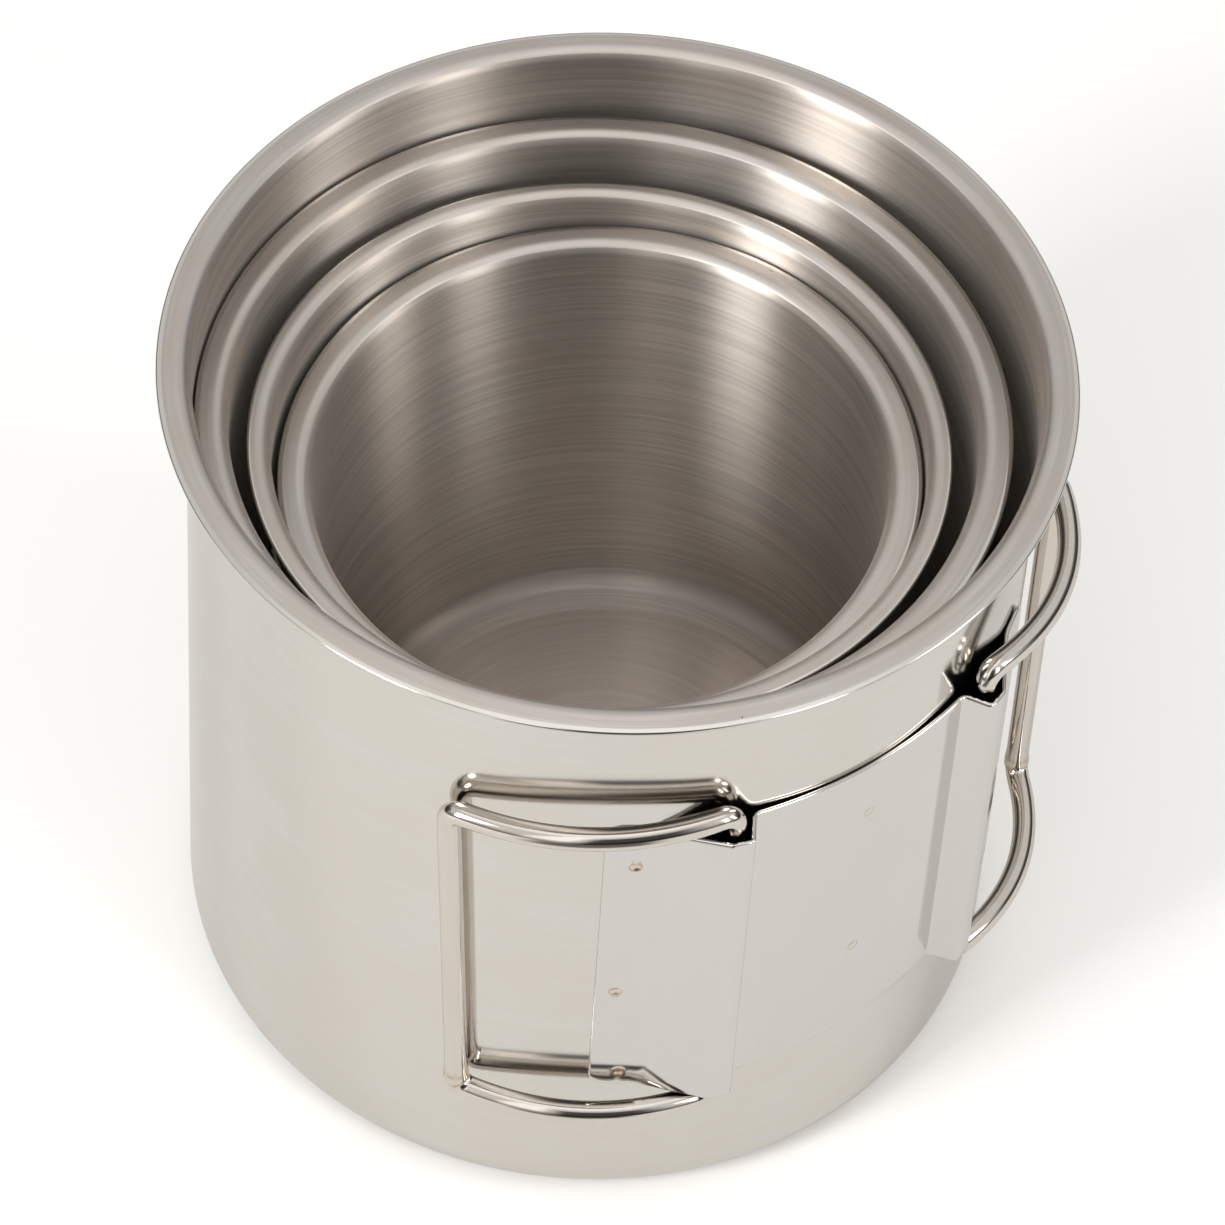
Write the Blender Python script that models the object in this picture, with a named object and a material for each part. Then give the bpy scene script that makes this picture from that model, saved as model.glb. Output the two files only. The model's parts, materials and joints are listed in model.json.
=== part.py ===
"""Nesting set of four stainless cups, each with a pair of folding wire loops for a handle.

Lengths are in metres and +Z is up. The origin is the centre of the large cup's base, on its underside.
Azimuths are in degrees about +Z, from -Y towards +X. Each cup is built about its own axis with its
underside at zero, and an empty then seats it inside the next larger cup.
"""

import math
from dataclasses import dataclass

import bmesh
import bpy
from mathutils import Matrix, Vector

MM = 0.001

# Stock and clearances, the same in all four cups
SHEET = 0.5 * MM
GAP = 0.3 * MM

SHARP_ANGLE = 40.0  # edges turning more than this many degrees are shaded sharp

# Cup shell
LIP_BEND_RADIUS = 1.2 * MM
LIP_DROOP = 8.0  # degrees that the lip falls towards its edge
CORNER_STEPS = 4
LIP_STEPS = 3

# Bracket: one sheet that follows the wall, with a channel pressed out over each hinge wire. A channel
# rises steeply on the plate's side and falls away gently on the flange's side.
CHANNEL_ANGLE = 20.5  # from the bracket's middle to each hinge wire
FLANGE_ANGLE = 36.8  # from the bracket's middle to each end
BRACKET_TOP = 0.78  # share of the cup's height
BRACKET_BOTTOM = 0.259
CHANNEL_ROOM = 2.1 * MM  # from the wall to the inside of the crown, not counting the wire's radius
PLATE_FOOT = 1.15 * MM  # from the hinge wire's surface to where the steep side starts
PLATE_SHOULDER = 0.15 * MM  # from the hinge wire's surface to where the steep side ends
FLANGE_SHOULDER = 0.55 * MM
FLANGE_FOOT = 0.6  # share of the way from the hinge wire to the end where the flange lands
FOOT_BEND = 1.0 * MM  # radii of the channel's bends, along the middle of the sheet
SHOULDER_BEND = 0.6 * MM
FLANGE_BEND = 5.0 * MM
CHANNEL_BEND_STEPS = 2
PLATE_LIFT = 0.25 * MM  # how much flatter than the wall the middle plate is, at its edges
FLANGE_DROP = 0.8 * MM  # how much lower the top edge is over the channels and flanges than over the plate
BRACKET_CORNER = 2.0 * MM
BRACKET_STEP = 2.6 * MM  # longest stretch between two stations
END_CORNER_SHARES = (0.6, 0.3, 0.08, 0.0)  # stations round the end corners, as shares of their radius

# Wire loops
HINGE_STANDOFF = 1.7 * MM
BAR_STANDOFF = 0.5 * MM  # from the wall to the outer bar's surface
BAR_ANGLE_TOP = 57.0  # from the bracket's middle to the outer bar
BAR_ANGLE_BOTTOM = 54.3
TOP_LEG_RISE = 2.1 * MM  # above the bracket's top edge, at the hinge wire
BAR_RISE = 0.1 * MM  # the same, at the outer bar
BOTTOM_LEG_DROP = 1.8 * MM  # below the bracket's bottom edge
LOOP_BEND = 1.7 * MM
BEND_STEPS = 3
LEG_STEPS = 7
WIRE_RING = 1  # bevel resolution, for six sides


@dataclass
class Cup:
    """One cup's own sizes, and where it sits in the nest."""

    name: str
    rim_radius: float
    body_radius: float
    height: float
    base_corner: float  # radius of the rounded corner round the base
    seat: tuple  # centre of the underside
    handle_azimuth: float
    wire_radius: float
    leg_standoff: tuple  # left and right legs, at their middle
    rest_opening: tuple  # left and right loops, in degrees
    lean: float  # tilt towards the handle, in degrees
    segments: int


CUPS = (
    Cup("large", 47.5 * MM, 44.4 * MM, 87.2 * MM, 5.25 * MM, (0.0, 0.0, 0.0),
        39.3, 1.25 * MM, (2.95 * MM, 3.7 * MM), (0.0, 2.0), 0.0, 60),
    Cup("medium", 42.5 * MM, 39.5 * MM, 78.4 * MM, 4.6 * MM, (-1.1 * MM, 0.0, 0.8 * MM),
        90.0, 1.0 * MM, (1.9 * MM, 1.9 * MM), (0.0, 0.0), 0.0, 56),
    Cup("small", 36.8 * MM, 34.8 * MM, 73.2 * MM, 3.9 * MM, (-1.4 * MM, 0.0, 1.6 * MM),
        -26.0, 1.0 * MM, (1.9 * MM, 1.9 * MM), (0.0, 0.0), 0.0, 52),
    Cup("mini", 33.8 * MM, 30.8 * MM, 58.8 * MM, 2.9 * MM, (1.1 * MM, 2.0 * MM, 11.5 * MM),
        -49.2, 1.0 * MM, (1.9 * MM, 1.9 * MM), (0.0, 0.0), 3.0, 48),
)

FINISHES = {
    "shell": ((0.62, 0.60, 0.57, 1.0), 0.22),
    "bracket": ((0.66, 0.65, 0.63, 1.0), 0.14),
    "left_loop": ((0.68, 0.66, 0.63, 1.0), 0.12),
    "right_loop": ((0.68, 0.66, 0.63, 1.0), 0.12),
}


def clear_scene():
    for obj in list(bpy.data.objects):
        bpy.data.objects.remove(obj, do_unlink=True)


def steel(name, piece):
    """Stainless steel as this kind of piece shows it: brushed shells, polished brackets and wires."""
    colour, roughness = FINISHES[piece]
    material = bpy.data.materials.new(name)
    material.use_nodes = True
    shader = material.node_tree.nodes["Principled BSDF"]
    shader.inputs["Base Color"].default_value = colour
    shader.inputs["Metallic"].default_value = 1.0
    shader.inputs["Roughness"].default_value = roughness
    return material


def add_object(name, data, parent, piece):
    """An object in the scene, with its own material, riding on its cup's empty."""
    data.materials.append(steel(name + "_steel", piece))
    obj = bpy.data.objects.new(name, data)
    bpy.context.scene.collection.objects.link(obj)
    obj.parent = parent
    return obj


def mesh_from(name, build):
    """A mesh filled by build(bm), with its faces turned outwards and its round sides smooth."""
    bm = bmesh.new()
    build(bm)
    bmesh.ops.recalc_face_normals(bm, faces=bm.faces)
    mesh = bpy.data.meshes.new(name)
    bm.to_mesh(mesh)
    bm.free()
    mesh.shade_smooth()
    mesh.set_sharp_from_angle(angle=math.radians(SHARP_ANGLE))
    return mesh


def arc(centre, radius, start, end, steps):
    """Points along a circular arc, with its angles in degrees."""
    points = []
    for step in range(steps + 1):
        angle = math.radians(start + (end - start) * step / steps)
        points.append(centre + radius * Vector((math.cos(angle), math.sin(angle))))
    return points


def rounded(before, corner, after, radius, steps):
    """Points of the arc that rounds a corner, in two or three dimensions."""
    back = (before - corner).normalized()
    ahead = (after - corner).normalized()
    half = back.angle(ahead) / 2
    middle = (back + ahead).normalized()
    centre = corner + middle * (radius / math.sin(half))
    first = corner + back * (radius / math.tan(half)) - centre
    sweep = math.pi - 2 * half
    last = corner + ahead * (radius / math.tan(half)) - centre
    points = []
    for step in range(steps + 1):
        angle = sweep * step / steps
        weight_first = math.sin(sweep - angle) / math.sin(sweep)
        weight_last = math.sin(angle) / math.sin(sweep)
        points.append(centre + first * weight_first + last * weight_last)
    return points


def on_cup(cup, azimuth, standoff, z=0.0):
    """A point outside the cup's wall, in the cup's own frame."""
    angle = math.radians(azimuth)
    radius = cup.body_radius + standoff
    return Vector((radius * math.sin(angle), -radius * math.cos(angle), z))


def offset_both_sides(path, distance):
    """The two lines that run at this distance on either side of a flat path, mitred at its corners."""
    right = []
    left = []
    for index, point in enumerate(path):
        before = path[max(index - 1, 0)]
        after = path[min(index + 1, len(path) - 1)]
        into = (point - before).normalized() if point != before else (after - point).normalized()
        out = (after - point).normalized() if after != point else into
        tangent = (into + out).normalized()
        normal = Vector((tangent.y, -tangent.x))
        reach = distance / tangent.dot(out)
        right.append(point + normal * reach)
        left.append(point - normal * reach)
    return right, left


# Cup shell

def shell_midline(cup):
    """Half of the shell's section, along the middle of the sheet from the base's centre to the lip."""
    half = SHEET / 2
    wall = cup.body_radius - half
    bend = cup.base_corner - half
    base_centre = Vector((wall - bend, half + bend))
    lip_centre = Vector((wall + LIP_BEND_RADIUS, cup.height - half - LIP_BEND_RADIUS))
    droop = math.radians(LIP_DROOP)
    path = [Vector((0.0, half))]
    path += arc(base_centre, bend, -90.0, 0.0, CORNER_STEPS)
    path += arc(lip_centre, LIP_BEND_RADIUS, 180.0, 90.0 - LIP_DROOP, LIP_STEPS)
    run = (cup.rim_radius - path[-1].x) / math.cos(droop)
    path.append(path[-1] + run * Vector((math.cos(droop), -math.sin(droop))))
    return path


def build_shell(cup, parent):
    outer, inner = offset_both_sides(shell_midline(cup), SHEET / 2)
    outline = outer + inner[::-1]
    outline[0].x = 0.0
    outline[-1].x = 0.0

    def turn(bm):
        rings = []
        for point in outline[1:-1]:
            ring = []
            for step in range(cup.segments):
                angle = 2 * math.pi * step / cup.segments
                ring.append(bm.verts.new((point.x * math.cos(angle), point.x * math.sin(angle), point.y)))
            rings.append(ring)
        for low, high in zip(rings, rings[1:]):
            for step in range(cup.segments):
                after = (step + 1) % cup.segments
                bm.faces.new((low[step], low[after], high[after], high[step]))
        for ring, end in ((rings[0], outline[0]), (rings[-1], outline[-1])):
            bm.faces.new(ring)

    name = cup.name + "_cup_shell"
    return add_object(name, mesh_from(name, turn), parent, "shell")


# Bracket

def channel_section(cup, hinge, end, plate_standoff, flange_standoff):
    """Crown over one hinge wire, from the plate's steep side to the flange's gentle one, unrolled."""
    crown = CHANNEL_ROOM + cup.wire_radius + SHEET / 2
    flange_foot = hinge + (end - hinge) * FLANGE_FOOT
    corners = [
        Vector((0.0, plate_standoff)),
        Vector((hinge - cup.wire_radius - PLATE_FOOT, plate_standoff)),
        Vector((hinge - cup.wire_radius - PLATE_SHOULDER, crown)),
        Vector((hinge + FLANGE_SHOULDER, crown)),
        Vector((flange_foot, flange_standoff)),
        Vector((end, flange_standoff)),
    ]
    bends = (FOOT_BEND, SHOULDER_BEND, SHOULDER_BEND, FLANGE_BEND)
    points = []
    for before, corner, after, bend in zip(corners, corners[1:], corners[2:], bends):
        points += rounded(before, corner, after, bend, CHANNEL_BEND_STEPS)
    return points


def evenly(start, end):
    """Distances from start to end, no further apart than the bracket's longest step."""
    count = max(1, math.ceil(abs(end - start) / BRACKET_STEP))
    return [start + (end - start) * step / count for step in range(count + 1)]


def bracket_section(cup):
    """The bracket's midline, unrolled: distance along the wall, and standoff from it."""
    hinge = cup.body_radius * math.radians(CHANNEL_ANGLE)
    end = cup.body_radius * math.radians(FLANGE_ANGLE)
    touching = GAP + SHEET / 2
    half_plate = hinge - cup.wire_radius - PLATE_FOOT - FOOT_BEND
    half = [Vector((along, touching + PLATE_LIFT * (along / half_plate) ** 2))
            for along in evenly(0.0, half_plate)]
    channel = channel_section(cup, hinge, end, half[-1].y, touching)
    half += channel
    for along in evenly(channel[-1].x, end - BRACKET_CORNER)[1:]:
        half.append(Vector((along, touching)))
    for share in END_CORNER_SHARES:
        half.append(Vector((end - BRACKET_CORNER * share, touching)))
    return [Vector((-point.x, point.y)) for point in half[:0:-1]] + half


def corner_inset(to_end):
    """How far the bracket's top and bottom edges pull in, this far from its end."""
    if to_end >= BRACKET_CORNER:
        return 0.0
    return BRACKET_CORNER - math.sqrt(BRACKET_CORNER ** 2 - (BRACKET_CORNER - to_end) ** 2)


def top_drop(cup, along):
    """How much lower than over the plate the top edge is, this far along from the bracket's middle."""
    hinge = cup.body_radius * math.radians(CHANNEL_ANGLE)
    share = (abs(along) - hinge + cup.wire_radius + PLATE_FOOT) / (PLATE_FOOT - PLATE_SHOULDER)
    return FLANGE_DROP * min(max(share, 0.0), 1.0)


def build_bracket(cup, parent):
    section = bracket_section(cup)
    near, far = offset_both_sides(section, SHEET / 2)
    end = section[-1].x
    top = cup.height * BRACKET_TOP
    bottom = cup.height * BRACKET_BOTTOM

    def roll(bm):
        rows = []
        for middle, inside, outside in zip(section, near, far):
            inset = corner_inset(max(end - abs(middle.x), 0.0))
            row_top = top - inset - top_drop(cup, middle.x)
            row = []
            for side, z in ((inside, bottom + inset), (outside, bottom + inset),
                            (outside, row_top), (inside, row_top)):
                azimuth = cup.handle_azimuth + math.degrees(side.x / cup.body_radius)
                row.append(bm.verts.new(on_cup(cup, azimuth, side.y, z)))
            rows.append(row)
        for here, there in zip(rows, rows[1:]):
            for corner in range(4):
                after = (corner + 1) % 4
                bm.faces.new((here[corner], here[after], there[after], there[corner]))
        bm.faces.new(rows[0])
        bm.faces.new(rows[-1])

    name = cup.name + "_handle_bracket"
    return add_object(name, mesh_from(name, roll), parent, "bracket")


# Wire loops

def leg_points(hinge, bar, outward, bow):
    """Points inside one bowed leg, an arc from the hinge wire to the outer bar."""
    chord = bar - hinge
    points = []
    for step in range(1, LEG_STEPS):
        share = step / LEG_STEPS
        points.append(hinge + chord * share + outward * (bow * 4 * share * (1 - share)))
    return points


def loop_path(cup, side, leg_standoff):
    """Closed centreline of one folded loop, in the cup's own frame."""
    bracket_top = cup.height * BRACKET_TOP
    bottom = cup.height * BRACKET_BOTTOM - BOTTOM_LEG_DROP
    hinge_azimuth = cup.handle_azimuth + side * CHANNEL_ANGLE
    corners = []
    legs = []
    for hinge_z, bar_z, bar_angle in (
            (bracket_top + TOP_LEG_RISE, bracket_top + BAR_RISE, BAR_ANGLE_TOP),
            (bottom, bottom, BAR_ANGLE_BOTTOM)):
        hinge = on_cup(cup, hinge_azimuth, HINGE_STANDOFF, hinge_z)
        bar = on_cup(cup, cup.handle_azimuth + side * bar_angle, BAR_STANDOFF + cup.wire_radius, bar_z)
        middle = (hinge + bar) / 2
        outward = Vector((middle.x, middle.y, 0.0))
        bow = cup.body_radius + leg_standoff - outward.length
        legs.append(leg_points(hinge, bar, outward.normalized(), bow))
        corners.append((hinge, bar))
    (hinge_top, bar_top), (hinge_bottom, bar_bottom) = corners
    top_leg, bottom_leg = legs
    path = rounded(hinge_bottom, hinge_top, top_leg[0], LOOP_BEND, BEND_STEPS)
    path += top_leg[1:-1]
    path += rounded(top_leg[-1], bar_top, bar_bottom, LOOP_BEND, BEND_STEPS)
    path += rounded(bar_top, bar_bottom, bottom_leg[-1], LOOP_BEND, BEND_STEPS)
    path += bottom_leg[-2:0:-1]
    path += rounded(bottom_leg[0], hinge_bottom, hinge_top, LOOP_BEND, BEND_STEPS)
    return path


def build_loop(cup, parent, side, leg_standoff, opening):
    """One wire loop, with its origin on the hinge axis and turned out to its resting angle."""
    hinge = on_cup(cup, cup.handle_azimuth + side * CHANNEL_ANGLE, HINGE_STANDOFF)
    path = loop_path(cup, side, leg_standoff)
    piece = "right_loop" if side > 0 else "left_loop"
    name = cup.name + "_handle_" + piece
    curve = bpy.data.curves.new(name, "CURVE")
    curve.dimensions = "3D"
    curve.bevel_depth = cup.wire_radius
    curve.bevel_resolution = WIRE_RING
    spline = curve.splines.new("POLY")
    spline.points.add(len(path) - 1)
    for point, place in zip(spline.points, path):
        point.co = (place - hinge).to_4d()
    spline.use_cyclic_u = True
    obj = add_object(name, curve, parent, piece)
    obj.location = hinge
    obj.rotation_euler.z = -side * math.radians(opening)
    return obj


def seat_cup(cup):
    """The empty that carries one cup to its place in the nest, leaning towards its handle."""
    empty = bpy.data.objects.new(cup.name + "_cup_seat", None)
    bpy.context.scene.collection.objects.link(empty)
    azimuth = math.radians(cup.handle_azimuth)
    across = Vector((math.cos(azimuth), math.sin(azimuth), 0.0))
    lean = Matrix.Rotation(math.radians(cup.lean), 4, across)
    empty.matrix_world = Matrix.Translation(cup.seat) @ lean
    return empty


def build_cup(cup):
    seat = seat_cup(cup)
    build_shell(cup, seat)
    build_bracket(cup, seat)
    for side, leg_standoff, opening in zip((-1, 1), cup.leg_standoff, cup.rest_opening):
        build_loop(cup, seat, side, leg_standoff, opening)


clear_scene()
for one in CUPS:
    build_cup(one)
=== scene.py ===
"""Looks for the nesting set of four steel cups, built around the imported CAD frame.

Each CAD node gets a finer piece in its place: a turned shell, a pressed bracket or a bent wire loop.
Lengths are in metres, +Z is up, and azimuths are in degrees about +Z, from -Y towards +X. A cup's
pieces are made in that cup's own frame, which is read from the CAD: underside at zero, axis along +Z.
"""

import json
import math
from dataclasses import dataclass

import bmesh
import bpy
from mathutils import Matrix, Vector, noise


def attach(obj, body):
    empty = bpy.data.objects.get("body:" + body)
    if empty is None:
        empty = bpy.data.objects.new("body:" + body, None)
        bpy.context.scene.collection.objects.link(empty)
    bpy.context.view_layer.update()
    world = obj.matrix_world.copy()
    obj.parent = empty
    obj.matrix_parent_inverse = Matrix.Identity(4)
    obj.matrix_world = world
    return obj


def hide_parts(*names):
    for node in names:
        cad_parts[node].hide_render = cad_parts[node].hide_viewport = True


MM = 0.001
MICRON = 1e-6
TINY = 0.001  # keeps a shader from dividing by zero

# Stock, as in the CAD
SHEET = 0.5 * MM
WIRE_RADIUS = {"large": 1.25 * MM}
INNER_WIRE_RADIUS = 1.0 * MM

# Turned shells
TURNS = 240  # steps round a shell
BASE_STEPS = 12  # from the axis to the base corner
WALL_STEPS = 22
CORNER_STEPS = {"outer": 16, "inner": 14}
LIP_STEPS = {"over": 14, "under": 10, "flat": 5, "edge": 8}
SATIN_STEPS = 7  # how far the lip's satin reaches down its bend
LIP_BEND_RADIUS = 1.2 * MM
LIP_DROOP = 8.0  # degrees
WALL_WAVE = 0.025 * MM  # how far the drawn wall wanders from a true cylinder
WALL_WAVE_LENGTH = 26.0 * MM
WALL_WAVE_STARTS = (0.0, 0.15)  # shares of the cup's height
WALL_WAVE_ENDS = (0.85, 0.97)
WALL_WAVE_SEED = 7.0  # cup heights between one cup's waves and another's

# Pressed brackets
CHANNEL_ROOM = 2.1 * MM  # from the wall to the inside of the crown, not counting the wire's radius
PLATE_FOOT = 1.15 * MM  # from the hinge wire's surface to where the channel's steep side starts
PLATE_SHOULDER = 0.15 * MM
FLANGE_SHOULDER = 0.55 * MM
FLANGE_FOOT = 0.6  # share of the way from the hinge wire to the end where the flange lands
BRACKET_SEAT = 0.06 * MM  # under the welded faces
FOOT_BEND = 1.0 * MM
SHOULDER_BEND = 0.6 * MM
FLANGE_BEND = 5.0 * MM
PLATE_LIFT = 0.25 * MM
FLANGE_DROP = 0.8 * MM  # how much lower the top edge is over the channels and flanges than over the plate
BRACKET_CORNER = 2.0 * MM
PLATE_STEPS = 26
BEND_STEPS = 8
FLANGE_STEPS = 34
FLANGE_CROWDING = 1.6  # how much closer the steps are at the flange's end
EDGE_STEPS = 5  # round the sheet's cut edge
THINNEST_EDGE = 0.08  # of half the sheet, at the very ends
BRACKET_ROW = 1.2 * MM
LAST_GAP = 0.3  # the least gap before the last row, in rows
CLOSEST_STATIONS = 0.04 * MM
END_MARGIN = 0.1 * MM  # extra stations keep this far from the ends

# Spot welds: a dimple with a raised, heat-tinted ring. Widths are in weld radii.
WELD_RADIUS = 0.62 * MM
WELD_DEPTH = 0.09 * MM
WELD_REACH = 3.0
WELD_STEP = 0.22
WELD_FINE_STEPS = 9  # each way from a weld's middle
WELD_FINE_REACH = 2.2
DIMPLE_WIDTH = 0.75
RING_WIDTH = 0.28
RING_RISE = 0.55  # of the dimple's depth
BURN_WIDTH = 1.4
BURN_MIDDLE = 0.5  # of the ring's burn

# Wire loops
BAR_STANDOFF = 0.5 * MM  # from the wall to the outer bar's surface
BAR_ANGLE_TOP = 57.0  # degrees from the bracket's middle to the outer bar
BAR_ANGLE_BOTTOM = 54.3
TOP_LEG_RISE = 2.1 * MM  # above the bracket's top edge, at the hinge wire
BAR_RISE = 0.1 * MM  # the same, at the outer bar
BOTTOM_LEG_DROP = 1.8 * MM
LOOP_BEND = 1.7 * MM
LEG_STANDOFF = {"large": {-1: 2.95 * MM, 1: 3.7 * MM}}  # at the middle of each loop's legs
INNER_LEG_STANDOFF = 1.9 * MM
WIRE_SIDES = 28
LEG_STEPS = 60
UPRIGHT_STEPS = 40
LOOP_BEND_STEPS = 14

# The butt weld's bead. The tint's place and width are in bead lengths.
BEAD_HEIGHT = 0.13 * MM
BEAD_LENGTH = 0.75 * MM
BEAD_LUMP = 0.7 * MM
BEAD_ROUGHNESS = 0.5
BEAD_TINT = 0.55
BEAD_TINT_PLACE = 1.1
BEAD_TINT_WIDTH = 0.45

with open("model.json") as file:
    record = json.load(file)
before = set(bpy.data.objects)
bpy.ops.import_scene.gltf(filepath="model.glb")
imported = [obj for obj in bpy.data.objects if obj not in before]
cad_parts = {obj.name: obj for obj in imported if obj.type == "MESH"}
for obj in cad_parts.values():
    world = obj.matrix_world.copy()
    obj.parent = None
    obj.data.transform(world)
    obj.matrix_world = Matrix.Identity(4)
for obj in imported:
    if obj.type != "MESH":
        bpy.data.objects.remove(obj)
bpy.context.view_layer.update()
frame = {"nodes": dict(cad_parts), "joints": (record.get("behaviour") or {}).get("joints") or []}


# What the CAD says about each cup

@dataclass
class Cup:
    """One cup, measured from its CAD nodes and joints, in its own frame."""

    name: str
    seat: Matrix  # from the cup's own frame to the set's
    height: float
    rim_radius: float
    body_radius: float
    base_corner: float
    handle_azimuth: float
    channel_angle: float
    flange_angle: float
    hinge_radius: float
    wire_radius: float
    bracket_bottom: float
    bracket_top: float
    rest_opening: dict  # side: degrees


def joint_named(name):
    return next(joint for joint in frame["joints"] if joint["name"] == name)


def azimuth_of(point):
    return math.degrees(math.atan2(point.x, -point.y))


def node_points(node, to_cup):
    return [to_cup @ vertex.co for vertex in frame["nodes"][node].data.vertices]


def measure_cup(name):
    left = joint_named(name + "_left_hinge")
    right = joint_named(name + "_right_hinge")
    lean = Vector((0.0, 0.0, 1.0)).rotation_difference(Vector(left["axis"])).to_matrix().to_4x4()
    upright = node_points(name + "_cup_shell", lean.inverted())
    xs, ys, zs = zip(*upright)
    centre = Vector(((min(xs) + max(xs)) / 2, (min(ys) + max(ys)) / 2, min(zs)))
    seat = lean @ Matrix.Translation(centre)
    to_cup = seat.inverted()
    shell = node_points(name + "_cup_shell", to_cup)
    height = max(point.z for point in shell)
    body_radius = max(point.xy.length for point in shell if point.z < height / 2)
    base_radius = max(point.xy.length for point in shell if point.z < SHEET / 4)
    bracket = node_points(name + "_handle_bracket", to_cup)
    left_hinge = to_cup @ Vector(left["pos_m"])
    right_hinge = to_cup @ Vector(right["pos_m"])
    handle_azimuth = azimuth_of(left_hinge.xy + right_hinge.xy)
    return Cup(
        name=name,
        seat=seat,
        height=height,
        rim_radius=max(point.xy.length for point in shell),
        body_radius=body_radius,
        base_corner=body_radius - base_radius,
        handle_azimuth=handle_azimuth,
        channel_angle=(azimuth_of(right_hinge) - azimuth_of(left_hinge)) / 2,
        flange_angle=max(azimuth_of(point) for point in bracket) - handle_azimuth,
        hinge_radius=left_hinge.xy.length,
        wire_radius=WIRE_RADIUS.get(name, INNER_WIRE_RADIUS),
        bracket_bottom=min(point.z for point in bracket),
        bracket_top=max(point.z for point in bracket),
        rest_opening={-1: -left["range_deg"][0], 1: -right["range_deg"][0]},
    )


def around(azimuth, radius, z=0.0):
    """A point at this azimuth and distance from a cup's axis."""
    angle = math.radians(azimuth)
    return Vector((radius * math.sin(angle), -radius * math.cos(angle), z))


# Mesh tools

def smoothstep(low, high, value):
    share = min(max((value - low) / (high - low), 0.0), 1.0)
    return share * share * (3.0 - 2.0 * share)


def arc(centre, radius, start, end, steps):
    """Points along a circular arc, with its angles in degrees."""
    points = []
    for step in range(steps + 1):
        angle = math.radians(start + (end - start) * step / steps)
        points.append(centre + radius * Vector((math.cos(angle), math.sin(angle))))
    return points


def straight(start, end, steps):
    """Points between two ends, without the ends."""
    return [start.lerp(end, step / steps) for step in range(1, steps)]


def add_piece(name, vertices, faces, zones, materials, cup, node, body, marks=None):
    """A smooth closed mesh in the cup's frame, standing for a CAD node and riding on its body.

    Zones give each face its material. Marks say how burnt each vertex is, from 0 to 1.
    """
    mesh = bpy.data.meshes.new(name)
    mesh.from_pydata(vertices, [], faces)
    for material in materials:
        mesh.materials.append(material)
    mesh.polygons.foreach_set("material_index", zones)
    if marks is not None:
        mesh.attributes.new("mark", "FLOAT", "POINT").data.foreach_set("value", marks)
    bm = bmesh.new()
    bm.from_mesh(mesh)
    bmesh.ops.recalc_face_normals(bm, faces=bm.faces)
    bm.to_mesh(mesh)
    bm.free()
    mesh.shade_smooth()
    piece = bpy.data.objects.new(name, mesh)
    bpy.context.scene.collection.objects.link(piece)
    piece.matrix_world = cup.seat
    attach(piece, body)
    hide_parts(node)
    return piece


# Materials

class Shader:
    """One node tree, written as formulas."""

    def __init__(self, tree):
        self.tree = tree

    def node(self, kind, inputs=None, **settings):
        made = self.tree.nodes.new(kind)
        for key, value in settings.items():
            setattr(made, key, value)
        for key, value in (inputs or {}).items():
            if isinstance(value, bpy.types.NodeSocket):
                self.tree.links.new(value, made.inputs[key])
            else:
                made.inputs[key].default_value = value
        return made

    def math(self, operation, *values):
        return self.node("ShaderNodeMath", dict(enumerate(values)), operation=operation).outputs[0]

    def times(self, first, second):
        return self.math("MULTIPLY", first, second)

    def rest_of(self, share, strength):
        """What is left of 1 after this share is dimmed by this strength."""
        return self.math("SUBTRACT", 1.0, self.times(share, strength))

    def ramp(self, value, low, high, start=0.0, end=1.0):
        """Smooth step from start to end as the value goes from low to high."""
        inputs = {"Value": value, "From Min": low, "From Max": high, "To Min": start, "To Max": end}
        return self.node("ShaderNodeMapRange", inputs, interpolation_type="SMOOTHSTEP").outputs[0]

    def noise(self, vector, detail=2.0, roughness=0.5):
        """Noise from 0 to 1, with features one unit of the vector long."""
        inputs = {"Vector": vector, "Scale": 1.0, "Detail": detail, "Roughness": roughness}
        return self.node("ShaderNodeTexNoise", inputs).outputs[0]

    def vector(self, x, y, z):
        return self.node("ShaderNodeCombineXYZ", {"X": x, "Y": y, "Z": z}).outputs[0]

    def tint(self, share, first, second):
        made = self.node("ShaderNodeMix", {0: share}, data_type="RGBA")
        for index, colour in ((6, first), (7, second)):
            if isinstance(colour, bpy.types.NodeSocket):
                self.tree.links.new(colour, made.inputs[index])
            else:
                made.inputs[index].default_value = (*colour, 1.0)
        return made.outputs[2]

    def total(self, *values):
        result = values[0]
        for value in values[1:]:
            result = self.math("ADD", result, value)
        return result


@dataclass
class Finish:
    """How one surface of steel was left. Heights are in metres, sizes are wavelengths in metres."""

    colour: tuple
    roughness: float
    anisotropy: float = 0.0
    line_height: float = 0.0  # fine turning or brushing lines
    line_width: float = 0.14 * MM
    coarse_height: float = 0.0  # wider, fainter lines
    coarse_width: float = 0.9 * MM
    streaks: float = 0.0  # how much the widest lines darken the steel, from 0 to 1
    streak_height: float = 0.0
    grain_height: float = 0.0  # satin grain
    grain_size: float = 0.12 * MM
    wave_height: float = 0.0  # slow waves in a polished sheet
    wave_size: float = 14.0 * MM
    specks: float = 0.0  # share of pits and dark specks, from 0 to 1
    roughness_change: float = 0.05
    warm_change: float = 0.05


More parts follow.
